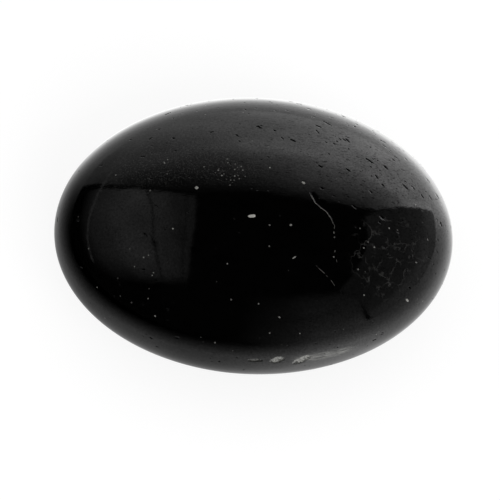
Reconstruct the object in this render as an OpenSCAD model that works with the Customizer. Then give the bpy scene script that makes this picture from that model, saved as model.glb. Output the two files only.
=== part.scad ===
// Basalt massage stone: one tumbled and polished pebble, domed above and a little flatter below.
// The polish has cut through gas pits, pale crystals and mineral veins, so they lie in its skin.
// Millimetres, +Z up. The origin is the middle of the worn flat that the stone rests on.

/* [Stone] */
// Length of the stone, along X
stone_l = 70; // [50:1:100]
// Width of the stone, along Y
stone_w = 53; // [38:1:76]
// Height of the crown above the widest section
crown_h = 17; // [12:0.5:26]
// Height of the widest section above the resting flat
belly_h = 15; // [10:0.5:22]
// Length of the flat worn under the belly
rest_l = 18; // [8:1:24]

/* [Gas pits] */
// Depth of a large pit at its middle
pit_depth = 0.25; // [0.2:0.05:0.6]
// Diameter of a small round pit
small_pit_d = 0.5; // [0.4:0.1:1.2]
// Number of small pits, spread evenly over the whole stone
small_pit_count = 18; // [1:1:40]
// Direction in which the flowing lava drew the gas out, from +X
flow_turn = -32; // [-90:1:90]

/* [Chips] */
// Depth of a chip knocked out of the front
chip_depth = 0.3; // [0.1:0.05:0.5]
// How far the rubbed facet beside the chips is worn down
facet_depth = 0.2; // [0.05:0.05:0.4]

/* [Veins and crystals] */
// Width of the main vein at the surface
vein_w = 0.5; // [0.3:0.05:1]
// Width of a hairline vein at the surface
hairline_w = 0.3; // [0.2:0.05:0.5]
// How deep the vein mineral reaches below the surface
vein_depth = 1.2; // [0.6:0.1:2.4]
// How deep a crystal reaches below the surface
crystal_depth = 0.8; // [0.4:0.1:1.6]

/* [Hidden] */
$fn = 180;

// The stone is two half-ellipsoids that share their widest section. The flat cuts the lower one
// back, so its own depth is a little more than the height that stands above the flat.
half_l = stone_l / 2;
half_w = stone_w / 2;
belly_depth = belly_h / sqrt(1 - pow(rest_l / stone_l, 2));

// Turning by this angle each time spreads points evenly round a ball.
golden_turn = 180 * (3 - sqrt(5));

// Places on the skin are an azimuth round the stone, from +X, and a latitude, from -90 under the
// belly to 90 on the crown. A turn is measured away from the lava's flow.
// Large pits: azimuth, latitude, length, width, turn
large_pits = [
    [124, 35, 1.4, 0.4, 62],
    [143, 49, 0.8, 0.35, 70],
    [157, 53, 0.9, 0.4, 10],
    [175, 60, 0.7, 0.4, 0],
    [163, 37, 0.7, 0.3, 20],
    [118, 62, 0.7, 0.3, 40],
    [104, 67, 0.8, 0.35, -6],
    [89, 62, 1.2, 0.4, 4],
    [79, 63, 0.7, 0.35, 0],
    [64, 66, 1.1, 0.5, 4],
    [60, 47, 2, 0.4, 0],
    [61, 52, 1.2, 0.35, 8],
    [45, 51, 1.3, 0.35, -18],
    [28, 69, 0.9, 0.35, 2],
    [28, 51, 1.5, 0.45, 5],
    [21, 61, 0.8, 0.3, 0],
    [23, 46, 1.1, 0.35, -4],
    [12, 41, 1.4, 0.45, 0],
    [75, -25, 1.4, 0.45, 0],
    [200, -35, 1.2, 0.45, 12],
    [330, -50, 1.5, 0.4, 0],
];

// Crystals: azimuth, latitude, length, width, turn
crystals = [
    [271, 76, 1.4, 0.7, 38],
    [257, 29, 1, 0.6, 20],
    [324, 18, 1.1, 0.5, 0],
    [327, 10, 0.8, 0.5, 30],
    [304, 70, 0.7, 0.5, 60],
    [287, 72, 0.6, 0.4, 0],
    [285, 63, 0.8, 0.5, 0],
    [294, 58, 1.2, 0.4, 70],
    [281, 34, 0.7, 0.5, 0],
    [286, 29, 1.1, 0.4, 70],
    [6, 76, 1, 0.6, 0],
    [146, 76, 0.8, 0.6, 15],
    [190, 74, 0.8, 0.6, 0],
    [160, 62, 1, 0.4, -30],
    [219, 41, 1.1, 0.6, 20],
    [240, 48, 0.9, 0.7, 90],
    [349, 29, 0.7, 0.4, 0],
    [337, 29, 0.7, 0.4, 40],
    [178, 14, 0.8, 0.5, 0],
    [80, 12, 1, 0.6, 25],
    [40, -20, 0.9, 0.6, 0],
    [128, -34, 1.1, 0.6, 50],
    [222, -28, 0.8, 0.6, 10],
    [310, -42, 1, 0.5, 80],
];

// Chips low on the front: azimuth, latitude, length, width, turn
chips = [
    [273, 8, 2.6, 0.8, 8],
    [279, 8, 2.8, 1.4, 30],
    [286, 6, 3.8, 1.6, 38],
];

// The facet rubbed flat to the right of the chips: azimuth, latitude
facet = [295, 5];

// Veins, as seen from above: points as shares of the half-length and the half-width
main_vein = [[0.27, -0.04], [0.3, -0.11], [0.36, -0.17], [0.4, -0.25]];
hairline_veins = [
    [[0.4, -0.25], [0.4, -0.37], [0.42, -0.48]],
    [[0.32, -0.51], [0.38, -0.57], [0.43, -0.63]],
];

function unit(v) = v / norm(v);

function half_h(latitude) = latitude > 0 ? crown_h : belly_depth;

function skin_point(azimuth, latitude) = [
    half_l * cos(latitude) * cos(azimuth),
    half_w * cos(latitude) * sin(azimuth),
    belly_h + half_h(latitude) * sin(latitude),
];

function skin_normal(azimuth, latitude) = unit([
    cos(latitude) * cos(azimuth) / half_l,
    cos(latitude) * sin(azimuth) / half_w,
    sin(latitude) / half_h(latitude),
]);

// Puts its children on the skin, with their Z straight out of it and their X along the flow.
module on_skin(azimuth, latitude) {
    place = skin_point(azimuth, latitude);
    out = skin_normal(azimuth, latitude);
    flow = [cos(flow_turn), sin(flow_turn), 0];
    along = unit(flow - (flow * out) * out);
    across = cross(out, along);
    multmatrix([
        [along.x, across.x, out.x, place.x],
        [along.y, across.y, out.y, place.y],
        [along.z, across.z, out.z, place.z],
    ]) children();
}

// One half of the outside, cut flat through its widest section.
module half_stone(half_plan, height) {
    intersection() {
        scale([half_plan.x, half_plan.y, height]) sphere(1);
        translate([-stone_l, -stone_w, 0]) cube([2 * stone_l, 2 * stone_w, 2 * height]);
    }
}

// The tumbled outside before the flat is worn, or what is left inside a skin of some thickness.
module tumbled_shape(skin = 0) {
    half_plan = [half_l - skin, half_w - skin];
    translate([0, 0, belly_h]) {
        half_stone(half_plan, crown_h - skin);
        mirror([0, 0, 1]) half_stone(half_plan, belly_depth - skin);
    }
}

// What the worn flat takes off the belly.
module below_rest() {
    translate([-stone_l, -stone_w, -2 * belly_depth])
        cube([2 * stone_l, 2 * stone_w, 2 * belly_depth]);
}

// A hollow with its rim at the skin, deepest in its middle.
module hollow(length, width, depth) {
    scale([length / 2, width / 2, depth]) sphere(1);
}

module pits() {
    for (pit = large_pits) {
        on_skin(pit[0], pit[1]) rotate(pit[4]) hollow(pit[2], pit[3], pit_depth);
    }
    for (i = [0 : small_pit_count - 1]) {
        latitude = asin(1 - 2 * (i + 0.5) / small_pit_count);
        on_skin(i * golden_turn, latitude) sphere(d = small_pit_d);
    }
}

module front_chips() {
    for (chip = chips) {
        on_skin(chip[0], chip[1]) rotate(chip[4]) hollow(chip[2], chip[3], chip_depth);
    }
    on_skin(facet[0], facet[1]) translate([-half_l, -half_l, -facet_depth])
        cube([stone_l, stone_l, belly_h]);
}

module crystal_blocks() {
    for (crystal = crystals) {
        on_skin(crystal[0], crystal[1]) rotate(crystal[4])
            cube([crystal[2], crystal[3], 2 * crystal_depth], center = true);
    }
}

// A crack along the given points, cut straight down from above.
module crack(points, width) {
    places = [for (point = points) [point.x * half_l, point.y * half_w]];
    linear_extrude(belly_h + 2 * crown_h) {
        for (i = [1 : len(places) - 1]) {
            step = places[i] - places[i - 1];
            translate(places[i - 1]) rotate(atan2(step.y, step.x))
                translate([0, -width / 2]) square([norm(step), width]);
        }
        for (place = places) {
            translate(place) circle(d = width);
        }
    }
}

// The mineral in the cracks, from the skin down to the veins' depth.
module vein_solids() {
    difference() {
        intersection() {
            tumbled_shape();
            translate([0, 0, belly_h]) {
                crack(main_vein, vein_w);
                for (points = hairline_veins) crack(points, hairline_w);
            }
        }
        tumbled_shape(vein_depth);
    }
}

module stone_body() {
    color("#101012") difference() {
        tumbled_shape();
        below_rest();
        pits();
        front_chips();
        crystal_blocks();
        vein_solids();
    }
}

module vein_fill() {
    color("#8f8d86") vein_solids();
}

module feldspar_crystals() {
    color("#b9b7ae") intersection() {
        tumbled_shape();
        crystal_blocks();
    }
}

stone_body();
vein_fill();
feldspar_crystals();
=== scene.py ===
# %% [markdown]
# # A polished basalt massage stone
#
# One smooth pebble of black basalt, tumbled and polished until it shines like glass. The packed
# CAD model gives its size, its resting flat, its pits and chips, and the places of the minerals in
# its skin. This file grows the finer skin on that frame and gives each mineral its own finish.
# Lengths are in metres, as the frame's are, and MM turns millimetres into them.

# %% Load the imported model
import math
import random

import bmesh
import bpy
import numpy as np
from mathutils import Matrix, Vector, kdtree, noise
from mathutils.bvhtree import BVHTree


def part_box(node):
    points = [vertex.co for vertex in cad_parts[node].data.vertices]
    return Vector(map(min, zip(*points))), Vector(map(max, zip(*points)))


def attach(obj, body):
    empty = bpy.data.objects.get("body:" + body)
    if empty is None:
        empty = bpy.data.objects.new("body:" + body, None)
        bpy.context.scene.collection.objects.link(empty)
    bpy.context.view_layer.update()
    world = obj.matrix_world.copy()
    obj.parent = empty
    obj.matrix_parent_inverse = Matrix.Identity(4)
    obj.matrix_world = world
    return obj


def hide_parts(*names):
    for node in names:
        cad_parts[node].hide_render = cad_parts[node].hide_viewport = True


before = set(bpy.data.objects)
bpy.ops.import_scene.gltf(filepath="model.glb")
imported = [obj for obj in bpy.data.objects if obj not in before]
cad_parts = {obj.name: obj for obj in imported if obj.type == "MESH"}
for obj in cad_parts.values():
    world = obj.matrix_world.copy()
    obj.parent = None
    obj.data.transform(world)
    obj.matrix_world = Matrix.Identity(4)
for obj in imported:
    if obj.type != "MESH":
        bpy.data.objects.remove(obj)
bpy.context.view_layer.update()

MM = 0.001
scene = bpy.context.scene
print("CAD nodes:", sorted(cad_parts))

# %% [markdown]
# ## The stone's own shape
#
# The stone is two half-ellipsoids on one widest section, a deeper one above and a shallower one
# below that is cut back by the resting flat. Three heights and two half-sizes say all of it, and
# the CAD mesh holds them: its box, its widest corner, and the end of its flat.

# %% Read the driving sizes off the CAD stone
def corners_of(name):
    """The corners of a CAD node's mesh, as rows of x, y, z."""
    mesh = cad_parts[name].data
    rows = np.empty(len(mesh.vertices) * 3)
    mesh.vertices.foreach_get("co", rows)
    return rows.reshape(-1, 3)


low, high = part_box("stone_body")
HALF_L = (high.x - low.x) / 2
HALF_W = (high.y - low.y) / 2
cad_stone = corners_of("stone_body")
WIDEST_Z = float(cad_stone[cad_stone[:, 0].argmax(), 2])
CROWN = high.z - WIDEST_Z
LEVEL_SLACK = 0.002 * MM
flat_corners = cad_stone[cad_stone[:, 2] < low.z + LEVEL_SLACK]
FLAT_HALF = float(flat_corners[:, 0].max())
BELLY = WIDEST_Z / math.sqrt(1 - (FLAT_HALF / HALF_L) ** 2)
print(f"half-length {HALF_L / MM:.2f}, half-width {HALF_W / MM:.2f}, widest at {WIDEST_Z / MM:.2f} mm")
print(f"crown {CROWN / MM:.2f}, belly {BELLY / MM:.2f}, half of the flat {FLAT_HALF / MM:.2f} mm")

# %% [markdown]
# Every place on the skin is named by a unit direction. Stretching that direction by the half-sizes
# lands on the skin, and dividing by them gives the way straight out, so one function serves the
# stone, the pits and the inlays alike.

# %% From a direction to the skin
def skin(units):
    """Points on the ideal skin, and the directions straight out of it, for rows of directions."""
    units = np.atleast_2d(units)
    sizes = np.empty_like(units)
    sizes[:, 0] = HALF_L
    sizes[:, 1] = HALF_W
    sizes[:, 2] = np.where(units[:, 2] > 0, CROWN, BELLY)
    out = units / sizes
    out /= np.linalg.norm(out, axis=1, keepdims=True)
    return units * sizes + [0, 0, WIDEST_Z], out


def units_at(points):
    """The directions whose skin lies under or over the given points."""
    shifted = np.atleast_2d(points) - [0, 0, WIDEST_Z]
    units = shifted / [HALF_L, HALF_W, 1]
    units[:, 2] /= np.where(units[:, 2] > 0, CROWN, BELLY)
    return units / np.linalg.norm(units, axis=1, keepdims=True)


def unit(azimuth, latitude):
    """The direction of an azimuth round the stone, from +X, and a latitude, both in degrees."""
    turn, rise = math.radians(azimuth), math.radians(latitude)
    return np.array([math.cos(rise) * math.cos(turn), math.cos(rise) * math.sin(turn), math.sin(rise)])


# %% [markdown]
# The lava flowed one way while it cooled, and drew its gas bubbles out along that way. Every pit
# and dash is laid along it, as it lies on the skin at that place.

# %% Along and across the flow
FLOW_TURN = math.radians(-32)
FLOW = np.array([math.cos(FLOW_TURN), math.sin(FLOW_TURN), 0])


def axes_on_skin(out, turn=0.0):
    """Directions along and across the lava's flow at a place on the skin, turned by an angle."""
    along = FLOW - (FLOW @ out) * out
    along /= np.linalg.norm(along)
    across = np.cross(out, along)
    return (
        along * math.cos(turn) + across * math.sin(turn),
        across * math.cos(turn) - along * math.sin(turn),
    )


# %% [markdown]
# ## The CAD model's hollows
#
# The CAD's pits, chips and rubbed facet show as corners that lie under the ideal skin. Corners that
# lie close together are one hollow. Its middle, its longest way and its reach come from them, so
# the finer pits cut here sit where the CAD has them.

# %% Group the CAD corners into hollows
def near_groups(points, reach):
    """Splits points into groups whose members lie within reach of one another."""
    tree = kdtree.KDTree(len(points))
    for index, point in enumerate(points):
        tree.insert(point, index)
    tree.balance()
    left = set(range(len(points)))
    groups = []
    while left:
        group, fresh = [], [left.pop()]
        while fresh:
            index = fresh.pop()
            group.append(index)
            for _, other, _ in tree.find_range(points[index], reach):
                if other in left:
                    left.remove(other)
                    fresh.append(other)
        groups.append(sorted(group))
    return sorted(groups)


def frame_of(points):
    """The middle, the longest and the middle way, and the half-sizes along both, of some points."""
    middle = (points.max(axis=0) + points.min(axis=0)) / 2
    place, out = skin(units_at(middle))
    place, out = place[0], out[0]
    flat = points - place
    flat = flat - np.outer(flat @ out, out)
    ways = np.linalg.svd(flat - flat.mean(axis=0), full_matrices=False)[2]
    along = ways[0]
    across = np.cross(out, along)
    return {
        "place": place,
        "along": along,
        "across": across,
        "half_length": float(np.abs(flat @ along).max()),
        "half_width": float(np.abs(flat @ across).max()),
    }


cad_skin, cad_out = skin(units_at(cad_stone))
cad_depth = ((cad_skin - cad_stone) * cad_out).sum(axis=1)
SHALLOWEST = 0.02 * MM
DEEPEST = 0.45 * MM
HOLLOW_REACH = 0.3 * MM
off_flat = cad_stone[:, 2] > low.z + 0.01 * MM
in_hollow = (cad_depth > SHALLOWEST) & (cad_depth < DEEPEST) & off_flat
hollow_corners = cad_stone[in_hollow]
hollows = []
for group in near_groups(hollow_corners, HOLLOW_REACH):
    hollows.append(frame_of(hollow_corners[group]))
PIT_REACH = 1.25 * MM
cad_pits = [h for h in hollows if h["half_length"] < PIT_REACH]
cad_chips = [h for h in hollows if h["half_length"] >= PIT_REACH]
print(len(cad_pits), "pits and", len(cad_chips), "chips or facets in the CAD model")

# %% [markdown]
# ## Small gas pits
#
# The polish cuts through bubbles of every size, which leaves dark dashes in the shine. Hundreds too
# small for the CAD model are scattered here with a fixed seed, more where the stone was nearer the
# top of its lava bed. Each is a hollow in the mesh, because a hollow catches light from every side,
# which a painted dash doesn't; the basalt still paints shade into it by cutting its shine. The CAD's
# own pits keep their places but are drawn narrower than it has them, as on a real stone they are that
# fine.

# %% Scatter the small pits
dice = random.Random(7)
DASHES = 640
DASH_TURN = 14
FROTHY_SIDE = unit(45, 4)
CALM_SHARE = 0.12
CAD_PIT_NARROWING = 0.62
DEEPEST_PIT = 0.2 * MM


def random_unit():
    """A direction with no side preferred."""
    z = dice.uniform(-1, 1)
    turn = dice.uniform(0, 2 * math.pi)
    flat = math.sqrt(1 - z * z)
    return np.array([math.cos(turn) * flat, math.sin(turn) * flat, z])


def dash(direction):
    """A small pit drawn out along the flow."""
    place, out = skin(direction)
    along, across = axes_on_skin(out[0], math.radians(dice.gauss(0, DASH_TURN)))
    half_width = dice.uniform(0.05, 0.11) * MM
    return {
        "place": place[0],
        "along": along,
        "across": across,
        "half_length": half_width * dice.choice((1.2, 2, 3, 4.5)) * dice.uniform(0.8, 1.3),
        "half_width": half_width,
        "depth": half_width * dice.uniform(1.0, 1.6),
    }


dashes = []
while len(dashes) < DASHES:
    direction = random_unit()
    if dice.random() < CALM_SHARE + (1 - CALM_SHARE) * max(0, direction @ FROTHY_SIDE) ** 2:
        dashes.append(dash(direction))
for pit in cad_pits:
    pit["half_width"] *= CAD_PIT_NARROWING
    pit["depth"] = min(DEEPEST_PIT, 1.2 * pit["half_width"])
pits = cad_pits + dashes
print(len(pits), "pits in all")

# %% [markdown]
# ## Where the mesh has to be fine
#
# A ball made from a cube has even quads and no poles. It stays coarse where the stone is smooth and
# is cut finer, level by level, near every pit, chip and vein, so the count stays low.

# %% The veins' courses, as seen from above
VEINS = [
    [(0.27, -0.04), (0.3, -0.11), (0.36, -0.17), (0.4, -0.25)],
    [(0.4, -0.25), (0.4, -0.37), (0.42, -0.48)],
    [(0.32, -0.51), (0.38, -0.57), (0.43, -0.63)],
]


STEP = 0.08 * MM
WANDER_MM = 0.18


def course(shares):
    """Closely spaced places on the crown along a vein, from shares of the half-sizes."""
    turns = np.array([(x * HALF_L, y * HALF_W) for x, y in shares])
    lengths = np.linalg.norm(np.diff(turns, axis=0), axis=1)
    along = np.concatenate([[0], np.cumsum(lengths)])
    stations = np.arange(0, along[-1], STEP)
    x = np.interp(stations, along, turns[:, 0])
    y = np.interp(stations, along, turns[:, 1])
    z = np.sqrt(1 - (x / HALF_L) ** 2 - (y / HALF_W) ** 2)
    places, out = skin(np.column_stack([x / HALF_L, y / HALF_W, z]))
    wander = np.array([noise.noise(Vector(p / (1.3 * MM))) for p in places]) * WANDER_MM * MM
    ways = np.gradient(places, axis=0)
    aside = np.cross(out, ways)
    aside /= np.linalg.norm(aside, axis=1, keepdims=True)
    return places + aside * wander[:, None], out, aside


courses = [course(shares) for shares in VEINS]
print("veins are", [round(len(c[0]) * STEP / MM, 1) for c in courses], "mm long")

# %% Gather the places that need a fine mesh
detail_points = list(hollow_corners)
for pit in pits:
    for step in (-0.8, 0, 0.8):
        detail_points.append(pit["place"] + pit["along"] * step * pit["half_length"])
for places, _, _ in courses:
    detail_points += list(places[::2])
detail_tree = kdtree.KDTree(len(detail_points))
for index, point in enumerate(detail_points):
    detail_tree.insert(point, index)
detail_tree.balance()


# %% Build the ball of directions and refine it
def cube_ball(cells):
    """A ball of unit directions: a cube with cells by cells quads on each side, blown up round."""
    ball = bmesh.new()
    bmesh.ops.create_cube(ball, size=2)
    bmesh.ops.subdivide_edges(ball, edges=ball.edges[:], cuts=cells - 1, use_grid_fill=True)
    for corner in ball.verts:
        corner.co = Vector([math.tan(c * math.pi / 4) for c in corner.co]).normalized()
    return ball


def refine(ball, reach, longest):
    """Cuts the edges that lie within reach of a detail and are longer than longest."""
    ball.verts.index_update()
    directions = np.array([corner.co for corner in ball.verts])
    places, _ = skin(directions)
    ends = np.array([[e.verts[0].index, e.verts[1].index] for e in ball.edges])
    lengths = np.linalg.norm(places[ends[:, 0]] - places[ends[:, 1]], axis=1)
    middles = (places[ends[:, 0]] + places[ends[:, 1]]) / 2
    chosen = []
    for edge, length, middle in zip(ball.edges, lengths, middles):
        if length > longest and detail_tree.find(middle)[2] < reach:
            chosen.append(edge)
    bmesh.ops.subdivide_edges(ball, edges=chosen, cuts=1, use_grid_fill=True)
    for corner in ball.verts:
        corner.co.normalize()


ball = cube_ball(56)
for reach, longest in ((0.9, 0.55), (0.45, 0.3), (0.26, 0.15), (0.15, 0.085)):
    refine(ball, reach * MM, longest * MM)
    print("refined to", len(ball.faces), "faces")

# %% [markdown]
# ## Wear the skin into shape
#
# Each corner of the ball goes to the skin and is then pushed in: by the chips and the facet, which
# rays find on the CAD model, by the pits, by the dark gap beside the main vein, and by the faint
# waviness that tumbling leaves. The rays start from places shaken by noise, which gives the CAD's
# clean chips the broken rims of real ones.

# %% Cast rays at the chips
def cad_tree():
    """All the CAD nodes' faces together, for rays."""
    points, faces = [], []
    for name in sorted(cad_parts):
        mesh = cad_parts[name].data
        start = len(points)
        points += [v.co.copy() for v in mesh.vertices]
        faces += [[start + i for i in face.vertices] for face in mesh.polygons]
    return BVHTree.FromPolygons(points, faces)


units = np.array([corner.co for corner in ball.verts])
units /= np.linalg.norm(units, axis=1, keepdims=True)
places, out = skin(units)
cad_rays = cad_tree()
CAD_ROUGH = 0.03 * MM
DEEPEST_CHIP = 0.6 * MM
WHITE_DEPTH = 0.18 * MM
WHITE_WIDTH = 0.75 * MM
chipped = np.zeros(len(places))
chip_grey_and_glint = np.zeros(len(places))
for chip in cad_chips:
    close = np.linalg.norm(places - chip["place"], axis=1) < chip["half_length"] + 0.5 * MM
    for index in np.flatnonzero(close):
        place, way = places[index], out[index]
        shake = np.array(noise.noise_vector(Vector(place / (0.6 * MM)))) * 0.12 * MM
        start = place + way * MM + shake - way * (shake @ way)
        hit = cad_rays.ray_cast(Vector(start), Vector(-way), 3 * MM)
        if hit[0] is not None:
            chipped[index] = max(0.0, hit[3] - MM - CAD_ROUGH)
            # A chip's paleness grows with its depth and width: the grey of broken stone and a painted
            # glint together.
            breadth = min(1, chip["half_width"] / WHITE_WIDTH) ** 2
            chip_grey_and_glint[index] = chipped[index] / WHITE_DEPTH * breadth
chipped[chipped > DEEPEST_CHIP] = 0
print(f"deepest chip {chipped.max() / MM:.2f} mm, {int((chipped > 0).sum())} corners in chips")

# %% Press in the pits
FARTHEST_IN_PIT = 1.6 * MM
RIM_GRAIN = 0.22 * MM
pitted = np.zeros(len(places))
for pit in pits:
    away = places - pit["place"]
    near = np.flatnonzero(np.abs(away).max(axis=1) < FARTHEST_IN_PIT)
    shake = np.array([noise.noise(Vector(p / RIM_GRAIN)) for p in places[near]])
    a = away[near] @ pit["along"] / pit["half_length"]
    b = away[near] @ pit["across"] / pit["half_width"]
    bowl = pit["depth"] * np.sqrt(np.clip(1 - a**2 - b**2 + 0.5 * shake, 0, 1))
    inside = a**2 + b**2 < 1.5
    pitted[near] = np.maximum(pitted[near], np.where(inside, bowl, 0))

# %% Open the gap beside the main vein
gap = np.zeros(len(places))
gap_places, _, gap_aside = courses[0]
GAP_WIDTH = 0.2 * MM
GAP_DEPTH = 0.16 * MM
GAP_ASIDE_MM = 0.27
gap_course = gap_places + gap_aside * GAP_ASIDE_MM * MM
for index, place in enumerate(gap_course):
    taper = math.sin(math.pi * index / (len(gap_course) - 1)) ** 0.5
    away = np.linalg.norm(places - place, axis=1) / (GAP_WIDTH * max(taper, 0.05))
    gap = np.maximum(gap, GAP_DEPTH * taper * np.clip(1 - away**2, 0, 1))

# %% Add the waviness of tumbling
WAVES = 9
WAVE_DEPTH = 0.014 * MM
waviness = np.zeros(len(places))
for _ in range(WAVES):
    length = dice.uniform(8, 16) * MM
    wave = random_unit() * 2 * math.pi / length
    waviness += 1 + np.sin(places @ wave + dice.uniform(0, 2 * math.pi))
waviness *= WAVE_DEPTH / WAVES
pressed = np.maximum(np.maximum(chipped, pitted), gap)
worn = places - out * (pressed + waviness)[:, None]

# %% [markdown]
# The resting flat is where the belly has worn level. A smooth maximum of the belly's height and
# the table's rolls one into the other over a fraction of a millimetre, as tumbling does.

# %% Wear the resting flat and make the mesh
ROLL = 0.15 * MM
height = worn[:, 2]
rolled = (height + np.sqrt(height**2 + ROLL**2)) / 2
worn[:, 2] = np.where(height > 6 * ROLL, height, rolled)
for corner, place in zip(ball.verts, worn):
    corner.co = place
stone_mesh = bpy.data.meshes.new("polished_stone")
ball.to_mesh(stone_mesh)
ball.free()
stone_mesh.polygons.foreach_set("use_smooth", [True] * len(stone_mesh.polygons))


def mark_corners(mesh, name, values):
    """Writes one number on each corner of a mesh, for its material to read."""
    layer = mesh.attributes.new(name, "FLOAT", "POINT")
    layer.data.foreach_set("value", np.asarray(values, dtype=np.float32))


# The pit mark holds the pits and the vein's gap, where the basalt paints shade by cutting the shine.
mark_corners(stone_mesh, "pit", np.clip(np.maximum(pitted, gap) / (0.05 * MM), 0, 1))
mark_corners(stone_mesh, "chip", np.clip(chip_grey_and_glint, 0, 1))
mark_corners(stone_mesh, "froth", np.clip(units @ FROTHY_SIDE, 0, 1))


def place_piece(mesh, node):
    """Links a finished mesh as a piece of the stone that stands for a CAD node."""
    piece = bpy.data.objects.new(mesh.name, mesh)
    scene.collection.objects.link(piece)
    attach(piece, "root")
    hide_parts(node)
    triangles = sum(len(face.vertices) - 2 for face in mesh.polygons)
    print(mesh.name, "has", len(mesh.vertices), "corners and", triangles, "triangles")
    return piece


stone = place_piece(stone_mesh, "stone_body")

# %% [markdown]
# ## Crystals in the skin
#
# Pale feldspar crystals were cut and polished level with the basalt. The CAD model has each as a
# small block. Here the block's corners on the skin, grouped by how close they lie, give the place,
# the turn and the size of an inlay with a broken outline, like a real crystal's. Its middle stands a
# hundredth of a millimetre proud and its rim dips under the skin, so it reads as one surface with
# the stone.
#
# Known fault: 11 of the 24 blocks have their corners in two rows farther apart than the reach. Each
# of those falls into two groups and makes two slivers too thin to show, so 13 crystals are seen.
# Grouping by the CAD mesh's connected solids would mend it.

# %% Grow the crystal inlays
PROUD = 0.012 * MM
SUNK = 0.03 * MM
SPOKES = 18


def inlay(grid, block, tone_layer, tone):
    """Adds one crystal's polished face to a mesh."""
    shakes = [dice.uniform(0.72, 1.0) for _ in range(6)]
    rings = []
    for ring, lift in ((0.0, PROUD), (0.4, PROUD), (0.8, 0.8 * PROUD), (1.0, -SUNK)):
        corners = []
        for spoke in range(SPOKES if ring else 1):
            turn = 2 * math.pi * spoke / SPOKES
            share = 6 * spoke / SPOKES
            first = int(share)
            reach = shakes[first] + (shakes[(first + 1) % 6] - shakes[first]) * (share - first)
            square = 1 / (abs(math.cos(turn)) ** 3 + abs(math.sin(turn)) ** 3) ** (1 / 3)
            a = ring * reach * square * block["half_length"] * math.cos(turn)
            b = ring * reach * square * block["half_width"] * math.sin(turn)
            spot, way = skin(units_at(block["place"] + a * block["along"] + b * block["across"]))
            corner = grid.verts.new(spot[0] + way[0] * lift)
            corner[tone_layer] = tone
            corners.append(corner)
        rings.append(corners)
    for spoke in range(SPOKES):
        after = (spoke + 1) % SPOKES
        grid.faces.new((rings[0][0], rings[1][spoke], rings[1][after]))
        for inner, outer in zip(rings[1:], rings[2:]):
            grid.faces.new((inner[spoke], outer[spoke], outer[after], inner[after]))


TOP_SLACK = 0.03 * MM
CRYSTAL_REACH = 0.8 * MM
SMALLEST_SCALE = 0.45
cad_crystals = corners_of("feldspar_crystals")
crystal_skin, crystal_out = skin(units_at(cad_crystals))
on_skin = np.linalg.norm(crystal_skin - cad_crystals, axis=1) < TOP_SLACK
top_corners = cad_crystals[on_skin]
blocks = [frame_of(top_corners[group]) for group in near_groups(top_corners, CRYSTAL_REACH)]
areas = [block["half_length"] * block["half_width"] for block in blocks]
grid = bmesh.new()
tone_layer = grid.verts.layers.float.new("tone")
for block, area in zip(blocks, areas):
    share = area / max(areas)
    for side in ("half_length", "half_width"):
        block[side] *= SMALLEST_SCALE + (1 - SMALLEST_SCALE) * share
    inlay(grid, block, tone_layer, share**1.5)
crystal_mesh = bpy.data.meshes.new("feldspar_inlays")
grid.to_mesh(crystal_mesh)
grid.free()
crystal_mesh.polygons.foreach_set("use_smooth", [True] * len(crystal_mesh.polygons))
crystals = place_piece(crystal_mesh, "feldspar_crystals")
longest = 2 * max(block["half_length"] for block in blocks)
print(f"{len(blocks)} inlays, slivers among them, the largest {longest / MM:.1f} mm long")

# %% [markdown]
# ## Veins
#
# A crack that filled with pale mineral runs down the right of the crown. It is widest in its upper
# stretch, thins to a hairline, and breaks into beads. A ribbon with a swelling and shrinking width
# follows the crack's course. Where its width falls to nothing the ribbon stops and starts again.

# %% Lay the vein ribbons
THINNEST = 0.03 * MM
PROFILE = ((-1, -SUNK), (-0.6, 0.6 * PROUD), (0, PROUD), (0.6, 0.6 * PROUD), (1, -SUNK))


def ribbon(grid, course, widths):
    """Lays a ribbon along a course, with gaps where its width is nothing."""
    before = None
    for place, way, aside, width in zip(*course, widths):
        if width < THINNEST:
            before = None
            continue
        row = []
        for side, lift in PROFILE:
            spot, out_way = skin(units_at(place + aside * side * width / 2))
            row.append(grid.verts.new(spot[0] + out_way[0] * lift))
        if before:
            for left in range(len(PROFILE) - 1):
                grid.faces.new((before[left], row[left], row[left + 1], before[left + 1]))
        before = row


def vein_widths(course, stops, beading):
    """Widths along a course, from a few stops, broken up by noise."""
    count = len(course[0])
    base = np.interp(np.linspace(0, 1, count), np.linspace(0, 1, len(stops)), stops)
    shake = np.array([noise.noise(Vector(p / (0.45 * MM)) + Vector((5, 0, 0))) for p in course[0]])
    return np.clip(base * (1 + beading * shake * 2) - beading * 0.08, 0, None) * MM


grid = bmesh.new()
for way, stops, beading in zip(courses, (
    (0.07, 0.14, 0.2, 0.17, 0.17, 0.13, 0.1, 0.07),
    (0.1, 0.14, 0.12, 0.16, 0.12),
    (0.08, 0.14, 0.1, 0.09, 0.12, 0.07),
), (0.35, 2.2, 0.6)):
    ribbon(grid, way, vein_widths(way, stops, beading))
vein_mesh = bpy.data.meshes.new("vein_ribbons")
grid.to_mesh(vein_mesh)
grid.free()
vein_mesh.polygons.foreach_set("use_smooth", [True] * len(vein_mesh.polygons))
veins = place_piece(vein_mesh, "vein_fill")

# %% [markdown]
# ## Nodes and colours
#
# Colours are written as sRGB hex, as a maker would note them, and one function turns them linear.
# One small function adds any node, with its settings and its links.

# %% Helpers for materials
def linear(hex_colour):
    """A linear colour with alpha, from an sRGB hex value."""
    shares = [int(hex_colour[i:i + 2], 16) / 255 for i in (1, 3, 5)]
    return [s / 12.92 if s <= 0.04045 else ((s + 0.055) / 1.055) ** 2.4 for s in shares] + [1.0]


def add(tree, kind, inputs=None, **settings):
    """Adds a node, sets it up, and fills or links its inputs."""
    made = tree.nodes.new(kind)
    for name, value in settings.items():
        setattr(made, name, value)
    for socket, value in (inputs or {}).items():
        if isinstance(value, bpy.types.NodeSocket):
            tree.links.new(value, made.inputs[socket])
        else:
            made.inputs[socket].default_value = value
    return made


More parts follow.
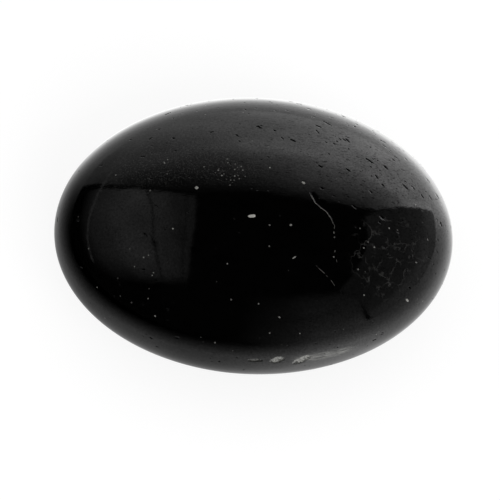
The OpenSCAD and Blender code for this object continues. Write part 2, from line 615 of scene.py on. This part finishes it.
def empty_material(name):
    """A material with nothing in it but its output."""
    material = bpy.data.materials.new(name)
    material.use_nodes = True
    material.node_tree.nodes.clear()
    return material, material.node_tree, material.node_tree.nodes.new("ShaderNodeOutputMaterial")


def in_millimetres(tree, stretch=1.0):
    """Places on the stone in millimetres, turned to the flow and drawn out along it."""
    where = add(tree, "ShaderNodeTexCoord")
    per_mm = 1 / MM
    return add(tree, "ShaderNodeMapping", {
        "Vector": where.outputs["Object"],
        "Rotation": (0, 0, -FLOW_TURN),
        "Scale": (per_mm / stretch, per_mm, per_mm),
    }).outputs[0]


# %% [markdown]
# ## Polished basalt
#
# Basalt is a dark, fine-grained lava. Tumbled with finer and finer grit and waxed, it turns almost
# black and mirrors its surroundings, with an IOR of about 1.6. Up close it isn't even: its grain
# shows as a faint mottle in the shine, tiny gas dashes along the flow are painted as shade in it,
# pale specks of feldspar gather in clusters, and at one end a net of hairline cracks shows pale.

# %% Polished basalt
basalt, tree, output = empty_material("polished_basalt")
fine = in_millimetres(tree)
drawn = in_millimetres(tree, 3.5)

# Grain: crystals of about a third of a millimetre that took the polish unevenly.
grain = add(tree, "ShaderNodeTexNoise", {"Vector": fine, "Scale": 3.0, "Detail": 4.0, "Roughness": 0.65})
# Flow bands: streaks a few millimetres long.
bands = add(tree, "ShaderNodeTexNoise", {"Vector": drawn, "Scale": 0.9, "Detail": 5.0, "Roughness": 0.6})
# Gas dashes too small for the mesh, about 0.15 by 0.7 mm, more of them on the frothy side, drawn only as
# painted shade.
gas = add(tree, "ShaderNodeTexNoise", {"Vector": in_millimetres(tree, 5), "Scale": 4.5, "Detail": 2.0})
froth = add(tree, "ShaderNodeAttribute", attribute_name="froth")
gassy = add(tree, "ShaderNodeMath", {
    0: froth.outputs["Fac"], 1: 0.165, 2: gas.outputs[0],
}, operation="MULTIPLY_ADD")
dash_shade = add(tree, "ShaderNodeMapRange", {
    "Value": gassy.outputs[0], "From Min": 0.69, "From Max": 0.74,
}, interpolation_type="SMOOTHSTEP")

# Crazing: a net of hairlines about 3 mm apart, only round one place at the right end.
here = add(tree, "ShaderNodeTexCoord")
here_mm = add(tree, "ShaderNodeVectorMath", {
    0: here.outputs["Object"], 1: (1 / MM,) * 3,
}, operation="MULTIPLY")
warp = add(tree, "ShaderNodeTexNoise", {"Vector": fine, "Scale": 0.7, "Detail": 3.0})
bent = add(tree, "ShaderNodeVectorMath", {
    0: warp.outputs["Color"], 1: (3.2, 3.2, 3.2), 2: fine,
}, operation="MULTIPLY_ADD")
net = add(tree, "ShaderNodeTexVoronoi", {
    "Vector": bent.outputs[0], "Scale": 0.32,
}, feature="DISTANCE_TO_EDGE")
line = add(tree, "ShaderNodeMapRange", {
    "Value": net.outputs["Distance"], "From Min": 0.06, "From Max": 0.0,
}, interpolation_type="SMOOTHSTEP")
broken = add(tree, "ShaderNodeTexNoise", {"Vector": fine, "Scale": 0.8, "Detail": 3.0})
kept = add(tree, "ShaderNodeMapRange", {
    "Value": broken.outputs[0], "From Min": 0.36, "From Max": 0.7,
}, interpolation_type="SMOOTHSTEP")
craze_place = Vector(skin(unit(332, 40))[0][0]) / MM
from_craze = add(tree, "ShaderNodeVectorMath", {
    0: here_mm.outputs[0], 1: craze_place,
}, operation="DISTANCE")
ragged = add(tree, "ShaderNodeMath", {
    0: broken.outputs[0], 1: 6.0, 2: from_craze.outputs["Value"],
}, operation="MULTIPLY_ADD")
craze_area = add(tree, "ShaderNodeMapRange", {
    "Value": ragged.outputs[0], "From Min": 11.4, "From Max": 9.6,
}, interpolation_type="SMOOTHSTEP")
craze_line = add(tree, "ShaderNodeMath", {0: line.outputs[0], 1: kept.outputs[0]}, operation="MULTIPLY")
craze = add(tree, "ShaderNodeMath", {
    0: craze_line.outputs[0], 1: craze_area.outputs[0],
}, operation="MULTIPLY")

# Pale specks of about a fifth of a millimetre. A few lie everywhere, and they crowd at four
# places: azimuth, latitude, reach in millimetres, and the share of cells that hold one.
cells = add(tree, "ShaderNodeTexVoronoi", {"Vector": fine, "Scale": 1.7, "Randomness": 1.0})
speck = add(tree, "ShaderNodeMapRange", {
    "Value": cells.outputs["Distance"], "From Min": 0.34, "From Max": 0.1,
}, interpolation_type="SMOOTHSTEP")
cell_dice = add(tree, "ShaderNodeSeparateColor", {0: cells.outputs["Color"]})
crowds = 0.012
for azimuth, latitude, reach, share in (
    (151, 82, 3.6, 0.6), (322, 47, 5.0, 0.22), (226, 37, 8.0, 0.14), (258, 20, 5.0, 0.12),
):
    middle = Vector(skin(unit(azimuth, latitude))[0][0]) / MM
    away = add(tree, "ShaderNodeVectorMath", {
        0: here_mm.outputs[0], 1: middle,
    }, operation="DISTANCE")
    crowd = add(tree, "ShaderNodeMapRange", {
        "Value": away.outputs["Value"], "From Min": reach, "From Max": reach / 7, "To Max": share,
    }, interpolation_type="SMOOTHSTEP")
    crowds = add(tree, "ShaderNodeMath", {
        0: crowd.outputs[0], 1: crowds,
    }, operation="MAXIMUM").outputs[0]
chosen = add(tree, "ShaderNodeMath", {0: cell_dice.outputs[0], 1: crowds}, operation="LESS_THAN")
specks = add(tree, "ShaderNodeMath", {0: speck.outputs[0], 1: chosen.outputs[0]}, operation="MULTIPLY")
speck_level = add(tree, "ShaderNodeMath", {
    0: specks.outputs[0], 1: cell_dice.outputs[1],
}, operation="MULTIPLY")

# A pale dust of feldspar lies in the skin on the left and back of the crown, in grains of about
# 0.3 mm.
dust_place = Vector(skin(unit(153, 68))[0][0]) / MM
from_dust = add(tree, "ShaderNodeVectorMath", {
    0: here_mm.outputs[0], 1: dust_place,
}, operation="DISTANCE")
dust_area = add(tree, "ShaderNodeMapRange", {
    "Value": from_dust.outputs["Value"], "From Min": 20.0, "From Max": 8.0,
}, interpolation_type="SMOOTHSTEP")
grit = add(tree, "ShaderNodeTexNoise", {"Vector": fine, "Scale": 3.6, "Detail": 2.0})
dust_grain = add(tree, "ShaderNodeMapRange", {
    "Value": grit.outputs[0], "From Min": 0.5, "From Max": 0.7, "To Max": 0.8,
}, interpolation_type="SMOOTHSTEP")
here_parts = add(tree, "ShaderNodeSeparateXYZ", {0: here_mm.outputs[0]})
behind = add(tree, "ShaderNodeMapRange", {
    "Value": here_parts.outputs[1], "From Min": -1.5, "From Max": 1.5,
})
dust_there = add(tree, "ShaderNodeMath", {
    0: dust_area.outputs[0], 1: behind.outputs[0],
}, operation="MULTIPLY")
dust = add(tree, "ShaderNodeMath", {
    0: dust_grain.outputs[0], 1: dust_there.outputs[0],
}, operation="MULTIPLY")

# Chips show the greyer broken stone, made paler the deeper and wider they are: partly the real grey,
# partly painted glints.
chip = add(tree, "ShaderNodeAttribute", attribute_name="chip")
broken_face = add(tree, "ShaderNodeMapRange", {
    "Value": grain.outputs[0], "From Min": 0.36, "From Max": 0.56,
}, interpolation_type="SMOOTHSTEP")
chip_face = add(tree, "ShaderNodeMath", {
    0: chip.outputs["Fac"], 1: broken_face.outputs[0],
}, operation="MULTIPLY")

# Painted reflection: pale streaks run along the rubbed facet beside the chips for ten millimetres, a
# broad glint painted into its colour.
smear_place = Vector(skin(unit(293, 6.2))[0][0]) / MM
smear_away = add(tree, "ShaderNodeVectorMath", {
    0: here_mm.outputs[0], 1: smear_place,
}, operation="SUBTRACT")
along_smear = add(tree, "ShaderNodeVectorMath", {
    0: smear_away.outputs[0], 1: (0.94 / 7, 0.34 / 7, -0.1 / 7),
}, operation="DOT_PRODUCT")
up_smear = add(tree, "ShaderNodeVectorMath", {
    0: smear_away.outputs[0], 1: (0.05, 0.0, 1 / 1.3),
}, operation="DOT_PRODUCT")
smear_way = add(tree, "ShaderNodeCombineXYZ", {
    0: along_smear.outputs["Value"], 1: up_smear.outputs["Value"],
})
smear_far = add(tree, "ShaderNodeVectorMath", {0: smear_way.outputs[0]}, operation="LENGTH")
smear_edge = add(tree, "ShaderNodeMapRange", {
    "Value": smear_far.outputs["Value"], "From Min": 1.0, "From Max": 0.3,
}, interpolation_type="SMOOTHSTEP")
streak_way = add(tree, "ShaderNodeVectorMath", {
    0: smear_way.outputs[0], 1: (3, 7, 1),
}, operation="MULTIPLY")
streaks = add(tree, "ShaderNodeTexNoise", {"Vector": streak_way.outputs[0], "Scale": 1.0, "Detail": 3.0})
streak = add(tree, "ShaderNodeMapRange", {
    "Value": streaks.outputs[0], "From Min": 0.38, "From Max": 0.62,
}, interpolation_type="SMOOTHSTEP")
painted_facet_glint = add(tree, "ShaderNodeMath", {
    0: streak.outputs[0], 1: smear_edge.outputs[0],
}, operation="MULTIPLY")


def tinted(share, under, over):
    """Lays a colour over another, which is a hex value or a socket, by a share."""
    mixed = add(tree, "ShaderNodeMix", {0: share, 7: linear(over)}, data_type="RGBA")
    if isinstance(under, str):
        mixed.inputs[6].default_value = linear(under)
    else:
        tree.links.new(under, mixed.inputs[6])
    return mixed.outputs[2]


body = tinted(bands.outputs[0], "#000000", "#030303")
with_dust = tinted(dust.outputs[0], body, "#2b2b2a")
with_specks = tinted(speck_level.outputs[0], with_dust, "#82827e")
with_craze = tinted(craze.outputs[0], with_specks, "#2b2b2a")
with_facet_glint = tinted(painted_facet_glint.outputs[0], with_craze, "#6e6e6b")
with_chip_grey_and_glint = tinted(chip_face.outputs[0], with_facet_glint, "#8e8e8a")

# Painted shade: the shine is cut to 0.08 in the pits, the vein's gap and the gas dashes. The grain takes
# some shine too.
pit = add(tree, "ShaderNodeAttribute", attribute_name="pit")
pit_shade = add(tree, "ShaderNodeMath", {
    0: pit.outputs["Fac"], 1: dash_shade.outputs[0],
}, operation="MAXIMUM")
shine_under_pit_shade = add(tree, "ShaderNodeMapRange", {"Value": pit_shade.outputs[0], "To Min": 1.0, "To Max": 0.08})
grain_shine = add(tree, "ShaderNodeMapRange", {
    "Value": grain.outputs[0], "From Min": 0.35, "From Max": 0.65, "To Min": 0.5, "To Max": 1.0,
})
shine = add(tree, "ShaderNodeMath", {
    0: shine_under_pit_shade.outputs[0], 1: grain_shine.outputs[0],
}, operation="MULTIPLY")

# The polish is mirror-like along some flow bands and a little softer along others.
polish = add(tree, "ShaderNodeMapRange", {
    "Value": bands.outputs[0], "From Min": 0.3, "From Max": 0.7, "To Min": 0.03, "To Max": 0.08,
})
roughness = add(tree, "ShaderNodeMix", {
    "Factor": chip_face.outputs[0], "A": polish.outputs[0], "B": 0.6,
}, data_type="FLOAT")

# The grain and the bands stand in the skin by less than a hundredth of a millimetre.
heights = add(tree, "ShaderNodeMath", {0: grain.outputs[0], 1: 0.0006}, operation="MULTIPLY")
uneven = add(tree, "ShaderNodeMath", {
    0: bands.outputs[0], 1: 0.014, 2: heights.outputs[0],
}, operation="MULTIPLY_ADD")
relief = add(tree, "ShaderNodeBump", {"Strength": 1.0, "Distance": MM, "Height": uneven.outputs[0]})
shader = add(tree, "ShaderNodeBsdfPrincipled", {
    "Base Color": with_chip_grey_and_glint,
    "Roughness": roughness.outputs[0],
    "IOR": 1.6,
    "Specular Tint": shine.outputs[0],
    "Normal": relief.outputs[0],
})
tree.links.new(shader.outputs[0], output.inputs["Surface"])
stone.data.materials.append(basalt)

# %% [markdown]
# ## Feldspar and vein mineral
#
# Both are pale, cloudy minerals that took nearly the same polish as the basalt, with an IOR of
# about 1.53. A large crystal is paler than a small one, because more of its depth shows. Clouds a
# fifth of a millimetre across keep each from being one flat grey.

# %% Feldspar and vein mineral
def cloudy_mineral(name, dark, pale, tone_name=None):
    """A cloudy, polished mineral between two colours, by a number on its corners or by noise."""
    mineral, tree, output = empty_material(name)
    clouds = add(tree, "ShaderNodeTexNoise", {
        "Vector": in_millimetres(tree), "Scale": 5.0, "Detail": 3.0,
    })
    spread = add(tree, "ShaderNodeMapRange", {
        "Value": clouds.outputs[0], "From Min": 0.3, "From Max": 0.7,
    })
    share = spread.outputs[0]
    if tone_name:
        tone = add(tree, "ShaderNodeAttribute", attribute_name=tone_name)
        thinned = add(tree, "ShaderNodeMapRange", {"Value": share, "To Min": 0.6, "To Max": 1.1})
        share = add(tree, "ShaderNodeMath", {
            0: tone.outputs["Fac"], 1: thinned.outputs[0],
        }, operation="MULTIPLY").outputs[0]
    colour = add(tree, "ShaderNodeMix", {"Factor": share}, data_type="RGBA")
    colour.inputs[6].default_value = linear(dark)
    colour.inputs[7].default_value = linear(pale)
    polish = add(tree, "ShaderNodeMapRange", {"Value": clouds.outputs[0], "To Min": 0.08, "To Max": 0.3})
    shader = add(tree, "ShaderNodeBsdfPrincipled", {
        "Base Color": colour.outputs[2], "Roughness": polish.outputs[0], "IOR": 1.53,
    })
    tree.links.new(shader.outputs[0], output.inputs["Surface"])
    return mineral


crystals.data.materials.append(cloudy_mineral("polished_feldspar", "#3a3a39", "#a9a8a2", "tone"))
veins.data.materials.append(cloudy_mineral("vein_mineral_fill", "#2e2e2d", "#5a5955"))

# %% [markdown]
# ## The studio
#
# A white table, and round it the cloth walls of a square light tent that is open above and at the
# front left. A mirror-black stone shows mostly its surroundings, so the walls matter more to its looks
# than its colour does. The room's light is plain and even, so a colour renders about as written,
# and only shines see the tent.

# %% Room light
world = bpy.data.worlds.new("studio_room")
scene.world = world
world.use_nodes = True
tree = world.node_tree
tree.nodes.clear()
path = add(tree, "ShaderNodeLightPath")
room_levels = {"seen": 1.0, "lit": 0.62, "shine": 0.003}
not_seen = add(tree, "ShaderNodeMapRange", {
    "Value": path.outputs["Is Glossy Ray"], "To Min": room_levels["lit"], "To Max": room_levels["shine"],
})
level = add(tree, "ShaderNodeMix", {
    "Factor": path.outputs["Is Camera Ray"], "A": not_seen.outputs[0], "B": room_levels["seen"],
}, data_type="FLOAT")
room = add(tree, "ShaderNodeBackground", {"Color": (1, 1, 1, 1), "Strength": level.outputs[0]})
add(tree, "ShaderNodeOutputWorld", {"Surface": room.outputs[0]})

# %% A large soft lamp in front and to the right, which only sets the shadow's side
LAMP_SIDE = 0.9
LAMP_AWAY = 1.6
lamp_data = bpy.data.lights.new("soft_lamp", "AREA")
lamp_data.shape = "SQUARE"
lamp_data.size = LAMP_SIDE
lamp_data.energy = 11.0
lamp = bpy.data.objects.new("soft_lamp", lamp_data)
scene.collection.objects.link(lamp)
lamp_way = Vector((0.45, -0.75, 0.6)).normalized()
lamp.location = lamp_way * LAMP_AWAY
lamp.rotation_euler = lamp_way.to_track_quat("Z", "Y").to_euler()
lamp.visible_glossy = False
lamp.visible_camera = False


# %% [markdown]
# The table is white to the eye and keeps the stone's soft shadow. In a shine it is brightest close
# to the stone and behind it, stays bright farthest toward the back right corner, and is darkest in
# front.

# %% Table
def flat_sheet(name, corners):
    """One flat sheet of the studio, with as many corners as it is given."""
    mesh = bpy.data.meshes.new(name)
    mesh.from_pydata([Vector(corner) for corner in corners], [], [tuple(range(len(corners)))])
    sheet = bpy.data.objects.new(name, mesh)
    scene.collection.objects.link(sheet)
    return sheet


def curve(tree, value, stops):
    """A level between 0 and 1 along a value between 0 and 1, smooth through the stops."""
    made = add(tree, "ShaderNodeFloatCurve", {"Value": value})
    points = made.mapping.curves[0].points
    points[0].location = stops[0]
    points[1].location = stops[-1]
    for stop in stops[1:-1]:
        points.new(*stop)
    for end in (points[0], points[-1]):
        end.handle_type = "VECTOR"
    made.mapping.update()
    return made.outputs[0]


TABLE = 4.0
table = flat_sheet("table_top", [
    (-TABLE, -TABLE, 0), (TABLE, -TABLE, 0), (TABLE, TABLE, 0), (-TABLE, TABLE, 0),
])
table_white, tree, output = empty_material("table_white")
path = add(tree, "ShaderNodeLightPath")
matt = add(tree, "ShaderNodeBsdfDiffuse", {"Color": linear("#f4f4f4")})
glow = add(tree, "ShaderNodeEmission", {"Color": (1, 1, 1, 1), "Strength": 1.15})
seen = add(tree, "ShaderNodeMixShader", {0: 0.7, 1: matt.outputs[0], 2: glow.outputs[0]})
where = add(tree, "ShaderNodeNewGeometry")
radius = add(tree, "ShaderNodeVectorMath", {0: where.outputs["Position"]}, operation="LENGTH")
NEAR_REACH = 68 * MM
FALL = 2.1
NEAR_CAP = 1.4
FAR_LEVEL = 1.5
share = add(tree, "ShaderNodeMath", {0: NEAR_REACH, 1: radius.outputs["Value"]}, operation="DIVIDE")
fall = add(tree, "ShaderNodeMath", {0: share.outputs[0], 1: FALL}, operation="POWER")
near = add(tree, "ShaderNodeMath", {0: fall.outputs[0], 1: NEAR_CAP}, operation="MINIMUM")
parts = add(tree, "ShaderNodeSeparateXYZ", {0: where.outputs["Position"]})
turn = add(tree, "ShaderNodeMath", {0: parts.outputs[0], 1: parts.outputs[1]}, operation="ARCTAN2")
# A share of the whole turn round the stone: 0 and 1 are the front, a quarter is the left.
round_share = add(tree, "ShaderNodeMapRange", {
    "Value": turn.outputs[0], "From Min": -math.pi, "From Max": math.pi,
})
near_way = curve(tree, round_share.outputs[0], [
    (0, 0.4), (0.06, 0.31), (0.12, 0.36), (0.2, 0.3), (0.31, 0.44), (0.35, 0.72), (0.39, 1), (0.5, 1),
    (0.6, 0.96), (0.68, 0.76), (0.75, 0.48), (0.82, 0.4), (0.91, 0.66), (0.96, 0.48), (1, 0.4),
])
far_way = curve(tree, round_share.outputs[0], [
    (0, 0), (0.31, 0.01), (0.36, 0.12), (0.39, 0.24), (0.5, 0.42), (0.56, 0.76), (0.62, 0.97),
    (0.65, 0.95), (0.69, 0.52), (0.75, 0.32), (0.82, 0.22), (0.91, 0.2), (0.96, 0.08), (1, 0),
])
far = add(tree, "ShaderNodeMath", {0: far_way, 1: FAR_LEVEL}, operation="MULTIPLY")
open_level = add(tree, "ShaderNodeMath", {
    0: near.outputs[0], 1: near_way, 2: far.outputs[0],
}, operation="MULTIPLY_ADD")
# The stone overhangs the table close to its foot and shades it there.
foot_level = add(tree, "ShaderNodeMapRange", {
    "Value": radius.outputs["Value"],
    "From Min": 28 * MM, "From Max": 62 * MM, "To Min": 0.6, "To Max": 2.6,
})
level = add(tree, "ShaderNodeMath", {
    0: open_level.outputs[0], 1: foot_level.outputs[0],
}, operation="MINIMUM")
mirrored = add(tree, "ShaderNodeEmission", {"Color": (1, 1, 1, 1), "Strength": level.outputs[0]})
plain = add(tree, "ShaderNodeMixShader", {
    0: path.outputs["Is Camera Ray"], 1: matt.outputs[0], 2: seen.outputs[0],
})
whole = add(tree, "ShaderNodeMixShader", {
    0: path.outputs["Is Glossy Ray"], 1: plain.outputs[0], 2: mirrored.outputs[0],
})
tree.links.new(whole.outputs[0], output.inputs["Surface"])
table.data.materials.append(table_white)

# %% [markdown]
# Each wall of the tent is a sheet a metre from the stone that only shines see. Its brightness runs
# along it and up it by two curves, since a cloth wall is lit by lamps outside it, and noise stands
# for its soft folds. Dark seams stay where two walls don't quite meet.

# %% Tent walls
TENT = 1.0


def only_in_shines(sheet):
    """Hides a part of the studio from every ray but the glossy ones."""
    for ray in ("camera", "diffuse", "shadow", "transmission"):
        setattr(sheet, "visible_" + ray, False)


def tent_wall(name, corners, along, along_span, along_stops, up_span, up_stops, strength, lean=0.0):
    """A cloth wall lit by one curve along it, which may lean with the height, and another up it."""
    wall = flat_sheet(name, [Vector(corner) * TENT for corner in corners])
    only_in_shines(wall)
    cloth, tree, output = empty_material(name + "_cloth")
    where = add(tree, "ShaderNodeNewGeometry")
    parts = add(tree, "ShaderNodeSeparateXYZ", {0: where.outputs["Position"]})
    leant = add(tree, "ShaderNodeMath", {
        0: parts.outputs["Z"], 1: lean, 2: parts.outputs[along],
    }, operation="MULTIPLY_ADD")
    levels = []
    for value, span, stops in ((leant, along_span, along_stops), (parts, up_span, up_stops)):
        share = add(tree, "ShaderNodeMapRange", {
            "Value": value.outputs[-1], "From Min": span[0] * TENT, "From Max": span[1] * TENT,
        })
        levels.append(curve(tree, share.outputs[0], stops))
    both = add(tree, "ShaderNodeMath", {0: levels[0], 1: levels[1]}, operation="MULTIPLY")
    folds = add(tree, "ShaderNodeTexNoise", {
        "Vector": where.outputs["Position"], "Scale": 2.4 / TENT, "Detail": 3.0,
    })
    fold_level = add(tree, "ShaderNodeMapRange", {
        "Value": folds.outputs[0],
        "From Min": 0.3, "From Max": 0.7, "To Min": 0.8 * strength, "To Max": 1.2 * strength,
    })
    scaled = add(tree, "ShaderNodeMath", {
        0: both.outputs[0], 1: fold_level.outputs[0],
    }, operation="MULTIPLY")
    glow = add(tree, "ShaderNodeEmission", {"Color": (1, 1, 1, 1), "Strength": scaled.outputs[0]})
    tree.links.new(glow.outputs[0], output.inputs["Surface"])
    wall.data.materials.append(cloth)


tent_wall(
    "tent_back",
    [(-1.28, 1, 0), (1.42, 1, 0), (1.42, 1, 1.6), (1.15, 1, 1.95), (0.8, 1, 2.08), (0.32, 1, 2.1),
     (-0.1, 1, 2.0), (-0.7, 1, 1.96), (-0.87, 1, 1.76), (-1.05, 1, 1.42), (-1.22, 1, 0.92)],
    "X", (-1.3, 1.4),
    [(0, 0.07), (0.15, 0.12), (0.26, 0.18), (0.35, 0.26), (0.46, 0.46), (0.57, 0.7), (0.64, 0.82),
     (0.85, 0.82), (1, 1)],
    (0, 2.04),
    [(0, 1), (0.25, 1), (0.34, 0.97), (0.42, 0.64), (0.5, 0.45), (0.6, 0.32), (0.72, 0.2),
     (0.85, 0.11), (1, 0.04)],
    1.85)
tent_wall(
    "tent_left",
    [(-1, 0.62, 0), (-1, 0.72, 0.44), (-1, 0.76, 0.8), (-1, 0.89, 1.38), (-1, 1.08, 2.04),
     (-1, 1.35, 2.87), (-1, 1.25, 2.96), (-1, 0.6, 3.06), (-1, -0.05, 2.85), (-1, -0.64, 2.53),
     (-1, -1.3, 2.05), (-1, -1.1, 1.42), (-1, -0.8, 0.79), (-1, -0.5, 0.4), (-1, -0.2, 0)],
    "Y", (-0.3, 0.7), [(0, 0), (0.2, 0.45), (0.45, 0.85), (0.7, 1), (1, 1)],
    (0.2, 3.0),
    [(0, 0), (0.06, 0.25), (0.1, 0.45), (0.18, 0.65), (0.31, 1), (0.44, 0.85), (0.63, 0.58),
     (0.75, 0.42), (1, 0.42)],
    0.29, lean=0.52)
tent_wall(
    "tent_right",
    [(1, 0.69, 0), (1, 0.69, 0.85), (1, 0.66, 1.1), (1, 0.6, 1.4), (1, 0.17, 1.27), (1, -0.33, 1.27),
     (1, -0.9, 1.3), (1, -0.86, 0.6), (1, -0.9, 0)],
    "Y", (-1, 0.7), [(0, 0.55), (0.5, 0.75), (1, 1)],
    (0, 1.7), [(0, 1), (0.1, 0.95), (0.2, 0.55), (0.4, 0.42), (0.6, 0.32), (1, 0.35)], 0.36)
tent_wall(
    "tent_front",
    [(1.04, -1, 0), (1.03, -1, 0.24), (1.1, -1, 0.5), (1.3, -1, 1.4), (-0.1, -1, 1.4), (-0.1, -1, 0)],
    "X", (-0.1, 1.3), [(0, 0), (0.3, 0.5), (0.5, 1), (1, 1)],
    (0, 1.4), [(0, 1), (0.12, 0.75), (0.29, 0.55), (0.47, 0.4), (0.74, 0.27), (1, 0)], 0.3)

# %% [markdown]
# A cord hangs over the left wall, a dark seam runs above it, and a pale hem runs along the wall's
# foot. All are thin lines in the stone's shine, and lines like these show how true the polish is.

# %% Cord, seam and hem on the left wall
def tent_line(name, places, thickness, brightness):
    """A tube that follows some places on the left wall and is seen only in shines."""
    route = bpy.data.curves.new(name, "CURVE")
    route.dimensions = "3D"
    route.bevel_depth = thickness / 2 * TENT
    spline = route.splines.new("NURBS")
    spline.points.add(len(places) - 1)
    for point, (y, z, swell) in zip(spline.points, places):
        point.co = (-0.98 * TENT, y * TENT, z * TENT, 1)
        point.radius = swell
    spline.order_u = 3
    spline.use_endpoint_u = True
    tube = bpy.data.objects.new(name, route)
    scene.collection.objects.link(tube)
    only_in_shines(tube)
    cloth, tree, output = empty_material(name + "_cloth")
    glow = add(tree, "ShaderNodeEmission", {"Color": (1, 1, 1, 1), "Strength": brightness})
    tree.links.new(glow.outputs[0], output.inputs["Surface"])
    route.materials.append(cloth)


tent_line("hanging_cord", [
    (0.93, 1.2, 1), (0.73, 1.45, 1), (0.35, 1.54, 1), (0, 1.47, 1), (-0.1, 1.48, 2.6),
    (-0.2, 1.47, 1), (-0.5, 1.42, 1), (-0.85, 1.3, 1),
], 0.02, 0.0)
tent_line("tent_hem", [
    (1.0, 0.46, 1), (0.57, 0.46, 1), (0.08, 0.32, 1), (-0.2, 0.25, 1),
], 0.013, 0.42)
tent_line("tent_seam", [
    (1.15, 2.45, 1), (0.6, 2.58, 1), (-0.05, 2.42, 1), (-0.64, 2.15, 1), (-1.12, 1.85, 1),
], 0.02, 0.03)

# %% [markdown]
# ## Camera
#
# A long lens looks down at the stone from the front, 59 degrees above the table.

# %% Camera
ELEVATION = math.radians(59)
YAW = math.radians(3.2)
DISTANCE = 0.36
VIEW_WIDTH = 87.7 * MM
LOOK_AT_HEIGHT = 15.5 * MM
camera_data = bpy.data.cameras.new("camera")
camera_data.lens = camera_data.sensor_width * DISTANCE / VIEW_WIDTH
camera_data.shift_x = -0.0066
camera_data.shift_y = -0.0354
camera = bpy.data.objects.new("camera", camera_data)
scene.collection.objects.link(camera)
scene.camera = camera
back = Vector((
    math.sin(YAW) * math.cos(ELEVATION), -math.cos(YAW) * math.cos(ELEVATION), math.sin(ELEVATION),
))
camera.location = Vector((0, 0, LOOK_AT_HEIGHT)) + back * DISTANCE
camera.rotation_euler = back.to_track_quat("Z", "Y").to_euler()
scene.view_settings.view_transform = "Standard"
print(f"lens {camera_data.lens:.0f} mm")
